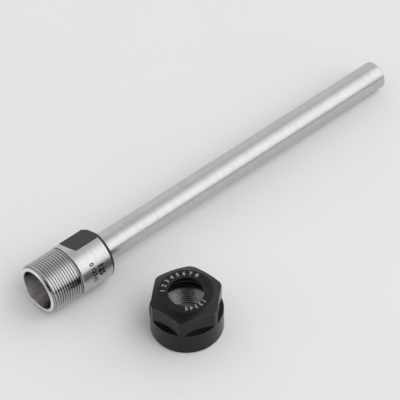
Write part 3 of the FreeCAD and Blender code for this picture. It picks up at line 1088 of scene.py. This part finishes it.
@dataclass
class ClampingNut:
    """The nut that closes the collet: a hexagon over a round foot, a bevelled face, and the stepped bore.

    thread_depth is a share of the pitch, and thread_flats are the flats on the crest and in the root, as shares
    too. crown is how far the bevel's middle is proud, and sunk how far the numbers' middle lies under the face.
    lines are the engraved numbers: their digits, the radius they stand on, and the angles in degrees of the first
    and the last.
    """

    place: tuple[float, float, float] = (-35.085481, -13.475, 0.0)
    turn: float = 10.9
    radius: float = 9.5
    height: float = 13.3
    foot_chamfer: float = 0.35
    flat_distance: float = 8.5
    hexagon_start: float = 6.8
    face_radius: float = 7.0
    bevel_angle: float = 30.0
    crown: float = 0.03
    hole_radius: float = 4.65
    hole_chamfer: float = 0.2
    hole_length: float = 1.4
    seat_half_angle: float = 30.0
    seat_radius: float = 5.8
    groove_radius: float = 6.45
    groove_width: float = 0.9
    lip_radius: float = 5.9
    lip_width: float = 0.7
    relief_radius: float = 7.2
    relief_width: float = 1.0
    entry_radius: float = 7.25
    thread_start: float = 0.2
    thread_pitch: float = 0.75
    thread_radius: float = 7.0
    thread_depth: float = 0.54125
    thread_flats: tuple[float, float] = (0.25, 0.125)
    columns: int = 240
    column_hold: float = 0.35
    lines: tuple[tuple[str, float, float, float], ...] = (
        ("12345678", 5.9, 136.0, 21.0), ("12345", 5.5, -76.0, -130.0),
    )
    digit_height: float = 1.25
    boldness: float = 0.05
    sunk: float = 0.005
    pieces: list[Piece] = field(default_factory=list)

    @property
    def axis(self) -> Axis:
        """Work out the nut's axis, from its open end up.

        Returns:
            The axis, with the first column on the middle of a flat.
        """
        turn = radians(self.turn)
        first = np.array([cos(turn), sin(turn), 0.0])
        return Axis(np.array(self.place), np.array([0.0, 0.0, 1.0]), first)

    @cached_property
    def angles(self) -> Array:
        """Choose the columns, with some on both sides of each of the hexagon's cut corners.

        Returns:
            Their angles in radians.
        """
        half = degrees(acos(self.flat_distance / self.radius))
        marked = [60.0 * side + way * half for side in range(6) for way in (-1, 1)]
        return columns_round(self.columns, marked, self.column_hold)

    def outside(self) -> Rows:
        """Make the rows from the open end up the outside to the front hole's edge.

        The hexagon's radius is its flats' distance over the cosine of the angle from the middle of the nearest
        flat, cut off at the round part's radius. The bevel comes down from the face by the tangent of its angle,
        so its lower edge dips in a curve across each flat.

        Returns:
            The rows.
        """
        sixth = pi / 3
        near = (self.angles + sixth / 2) % sixth - sixth / 2
        hexagon = np.minimum(self.flat_distance / np.cos(near), self.radius)
        drop = (hexagon - self.face_radius) * tan(radians(self.bevel_angle))
        black = Zone.GROUND
        return outline([
            Corner(0.0, self.entry_radius, black),
            Corner(0.0, self.radius - self.foot_chamfer, black, 0.06),
            Corner(self.foot_chamfer, self.radius, black, 0.1),
            Corner(self.hexagon_start, self.radius, black, 0.05),
            Corner(self.hexagon_start, hexagon, black, 0.08, worn=False),
            Corner(self.height - drop, hexagon, black, 0.08, bulge=self.crown),
            Corner(self.height, self.face_radius, black, 0.2, worn=False),
            Corner(self.height, self.hole_radius + self.hole_chamfer, black, 0.04),
            Corner(self.height - self.hole_chamfer, self.hole_radius, black, 0.04),
        ], len(self.angles))

    def inside(self) -> Rows:
        """Make the rows from the front hole down through the cone, the groove, the lip, the relief and the thread.

        Returns:
            The rows, back to the outside's first one.
        """
        seat_top = self.height - self.hole_length
        slope = tan(radians(self.seat_half_angle))
        seat_foot = seat_top - (self.seat_radius - self.hole_radius) / slope
        groove_foot = seat_foot - self.groove_width
        lip_foot = groove_foot - self.lip_width
        relief_foot = lip_foot - self.relief_width
        crest = self.thread_radius - self.thread_depth * self.thread_pitch
        black = Zone.GROUND
        steps = outline([
            Corner(self.height - 2 * self.hole_chamfer, self.hole_radius, black),
            Corner(seat_top, self.hole_radius, black, 0.05),
            Corner(seat_foot, self.seat_radius, black, 0.05),
            Corner(seat_foot, self.groove_radius, black, 0.05, worn=False),
            Corner(groove_foot, self.groove_radius, black, 0.05, worn=False),
            Corner(groove_foot, self.lip_radius, black, 0.05),
            Corner(lip_foot, self.lip_radius, black, 0.05),
            Corner(lip_foot, self.relief_radius, black, 0.05, worn=False),
            Corner(relief_foot, self.relief_radius, black),
        ], len(self.angles))
        thread = Thread(
            ThreadSide.INSIDE, self.thread_start, relief_foot, self.thread_pitch, crest, self.thread_radius - crest,
            *self.thread_flats, lead_radius=self.entry_radius, lead_slope=-1.0, per_pitch=8,
        ).rows(self.angles).backwards()
        last = outline([Corner(0.0, self.entry_radius, black)], len(self.angles))
        return Rows.joined([steps, thread, last])

    def build(self) -> Piece:
        """Build the nut and dress it.

        Returns:
            The nut.
        """
        rows = Rows.joined([self.outside(), self.inside()])
        piece = turned_object("clamping_nut_turned", self.axis, rows, self.angles)
        for finish in (
            BlackOxide("black_oxide"),
            # The thread's crests take bare steel by the mesh's mask and its roots stay dark: rubbed crests, and
            # painted shade in the roots.
            BlackOxide("black_oxide_thread", (0.08, 0.079, 0.079), (0.11, 0.108, 0.108), (0.58, 0.575, 0.57),
                       roughness=0.09, metallic=1.0),
        ):
            piece.data.materials.append(finish.make())
        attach(piece, "root")
        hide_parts("clamping_nut")
        self.pieces.append(piece)
        return piece

    def mark(self) -> Piece:
        """Engrave plain digits round the face, tops outwards, in two arcs that read clockwise.

        A digit's place along the line becomes an angle, the first one's less the place over the radius.

        Returns:
            The numbers.
        """
        top = Axis(np.array(self.place), np.array([0.0, 0.0, 1.0]), np.array([1.0, 0.0, 0.0]))
        shapes: list[Shape] = []
        for text, ring, first, last in self.lines:
            middles = tuple(np.radians(first - last) * ring * np.linspace(0.0, 1.0, len(text)))
            flat, faces = Digits(text, middles, self.digit_height, self.boldness).shape()
            angle = radians(first) - flat[:, 0] / ring
            shapes.append((top.place(self.height - self.sunk + flat[:, 2], ring + flat[:, 1], angle), faces))
        finish = MarkFinish("engraved_grey", (0.34,) * 3, (0.2, 0.2, 0.203), roughness=0.5)
        piece = marks_object("nut_numbers", shapes, finish)
        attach(piece, "root")
        self.pieces.append(piece)
        return piece


# --- Studio ---


@dataclass(frozen=True)
class SoftBox:
    """A soft lamp: where it hangs as seen from the object, its size in metres, and how bright its face is."""

    name: str
    heading: float
    elevation: float
    distance: float
    width: float
    height: float
    radiance: float

    def make(self) -> Piece:
        """Hang the lamp so that it faces the object, unseen in reflections.

        Its power is four times its radiance times its area.

        Returns:
            The lamp.
        """
        lamp = bpy.data.lights.new(self.name, "AREA")
        lamp.shape = "RECTANGLE"
        lamp.size, lamp.size_y = self.width, self.height
        lamp.energy = self.radiance * self.width * self.height * 4
        turn, rise = radians(self.heading), radians(self.elevation)
        way = Vector((cos(rise) * cos(turn), cos(rise) * sin(turn), sin(rise)))
        where = way * self.distance
        holder = placed(self.name, lamp)
        holder.visible_glossy = False
        holder.matrix_world = Matrix.Translation(where) @ where.to_track_quat("Z", "Y").to_matrix().to_4x4()
        return holder


@dataclass(frozen=True)
class Wall:
    """One side of the room: its heading, and its brightness by elevation, as pairs of degrees and strength.

    wide and narrow are the headings' distances from its own at which it has no share of the room, and all of it.
    """

    heading: float
    wide: float
    narrow: float
    levels: tuple[tuple[float, float], ...]


@dataclass
class Studio:
    """The floor, the light and the camera.

    room_sky is the room's brightness by elevation, as pairs of degrees and strength, and room_peak is above all of
    them. Its walls stand before it: one with the key light, and a dark one behind the camera. floor_grid is how
    many rings and columns the floor has. The camera's place is in metres and its angles are degrees.
    """

    floor_colour: Colour = (0.8, 0.8, 0.81)
    floor_shade: float = 0.97
    floor_cloud: Noise = Noise(14.0, 3.0, 0.5)
    floor_radius: float = 1.6
    floor_grid: tuple[int, int] = (16, 96)
    room_peak: float = 2.0
    room_sky: tuple[tuple[float, float], ...] = (
        (-90.0, 0.74), (0.0, 0.78), (18.0, 0.86), (40.0, 0.84), (48.0, 0.74), (56.0, 0.66), (64.0, 0.7), (68.0, 0.1),
        (90.0, 0.08),
    )
    walls: tuple[Wall, ...] = (
        Wall(heading=-52.0, wide=80.0, narrow=45.0, levels=(
            (-90.0, 0.74), (-1.5, 0.74), (-0.5, 0.1), (4.5, 0.1), (7.0, 0.9), (12.0, 1.15), (20.0, 1.5),
            (30.0, 1.68), (50.0, 1.68), (60.0, 1.35), (65.0, 0.9), (69.0, 0.1), (90.0, 0.08),
        )),
        Wall(heading=-152.0, wide=46.0, narrow=32.0, levels=(
            (-90.0, 0.74), (-1.5, 0.74), (-0.5, 0.02), (24.0, 0.02), (29.0, 0.84), (40.0, 0.84), (48.0, 0.74),
            (56.0, 0.66), (64.0, 0.7), (68.0, 0.1), (90.0, 0.08),
        )),
    )
    lamps: tuple[SoftBox, ...] = (
        SoftBox("top_softbox", heading=-70.0, elevation=62.0, distance=1.2, width=0.7, height=0.7, radiance=1.5),
    )
    camera_place: tuple[float, float, float] = (-0.269785, -0.297944, 0.463335)
    camera_heading: float = 40.171456
    camera_dip: float = 48.413788
    camera_roll: float = -1.579765
    lens: float = 207.873653

    def floor(self) -> Piece:
        """Lay the floor: a round sheet, in rings of equal width round one middle place, with a faint mottling.

        Returns:
            The sheet.
        """
        rings, around = self.floor_grid
        radius = np.linspace(0.0, self.floor_radius, rings + 1)[1:, None]
        angle = np.linspace(0.0, 2 * pi, around, endpoint=False)
        grid = np.stack([radius * np.cos(angle), radius * np.sin(angle), np.zeros((rings, around))], -1)
        number = np.arange(rings * around).reshape(rings, around) + 1
        after = np.roll(number, -1, axis=1)
        quads = np.stack([number[:-1], number[1:], after[1:], after[:-1]], -1).reshape(-1, 4)
        fan = np.stack([np.zeros(around, int), number[0], after[0]], -1)
        mesh = bpy.data.meshes.new("studio_floor")
        mesh.from_pydata(np.vstack([np.zeros(3), grid.reshape(-1, 3)]), [], quads.tolist() + fan.tolist())
        mesh.shade_smooth()
        board = Board.of_material("pale_floor")
        cloud = board.noise(board.object_place(), self.floor_cloud).limited(0.3, 0.7)
        shade = tuple(value * self.floor_shade for value in self.floor_colour)
        mesh.materials.append(board.surface(
            Base_Color=board.blend(cloud, shade, self.floor_colour), Roughness=0.9, Specular_IOR_Level=0.1))
        sheet = placed("studio_floor", mesh)
        return sheet

    def world(self) -> bpy.types.World:
        """Make the room's light.

        Its strength follows the elevation of the direction by the room's table. Each wall's own table takes over as
        the heading comes near to the wall's: its share rises with the cosine between them, over a soft step.

        Returns:
            The world.
        """
        world = bpy.data.worlds.new("soft_room")
        board = Board(world)
        way = board.node("ShaderNodeTexCoord").outputs["Generated"]
        x, y, z = (board.signal(socket) for socket in board.node("ShaderNodeSeparateXYZ", None, {0: way}).outputs)
        elevation = z.maths("ARCSINE", z) * (180 / pi)
        level = z.maths("MAXIMUM", 1.0 - z * z, 1e-4) ** 0.5
        strength = board.table(elevation, self.room_sky, self.room_peak)
        for wall in self.walls:
            turn, wide, narrow = (radians(angle) for angle in (wall.heading, wall.wide, wall.narrow))
            near = (x * cos(turn) + y * sin(turn)) / level
            own = board.table(elevation, wall.levels, self.room_peak)
            strength = strength + (own - strength) * near.limited(cos(wide), cos(narrow))
        light = board.node("ShaderNodeBackground", None, {"Color": (1.0, 1.0, 1.0, 1.0), "Strength": strength})
        board.tree.links.new(light.outputs[0], board.end.inputs[0])
        bpy.context.scene.world = world
        return world

    def camera(self) -> Piece:
        """Set up the camera: it looks along its heading, dips below level, and rolls about its view.

        Returns:
            The camera.
        """
        turn = Matrix.Identity(4)
        for angle, axis in ((-self.camera_heading, "Z"), (90.0 - self.camera_dip, "X"), (self.camera_roll, "Z")):
            turn = turn @ Matrix.Rotation(radians(angle), 4, axis)
        lens = bpy.data.cameras.new("photo_camera")
        lens.lens = self.lens
        lens.sensor_width = 36.0
        lens.sensor_fit = "HORIZONTAL"
        lens.clip_start, lens.clip_end = 0.01, 20.0
        holder = placed("photo_camera", lens)
        holder.matrix_world = Matrix.Translation(Vector(self.camera_place)) @ turn
        bpy.context.scene.camera = holder
        return holder

    def build(self) -> None:
        """Lay the floor, hang the lamps, light the room and set the camera and the plain view."""
        self.floor()
        for lamp in self.lamps:
            lamp.make()
        self.world()
        self.camera()
        bpy.context.scene.view_settings.view_transform = "Standard"


def main() -> None:
    """Build the studio and both pieces, and report each."""
    logging.basicConfig(level=logging.INFO, format="%(message)s")
    Studio().build()
    for builder in (ChuckBody(), ClampingNut()):
        builder.build()
        builder.mark()
        for piece in builder.pieces:
            triangles = sum(len(face.vertices) - 2 for face in piece.data.polygons)
            LOG.info("%s: %d triangles", piece.name, triangles)


if __name__ == "__main__":
    main()
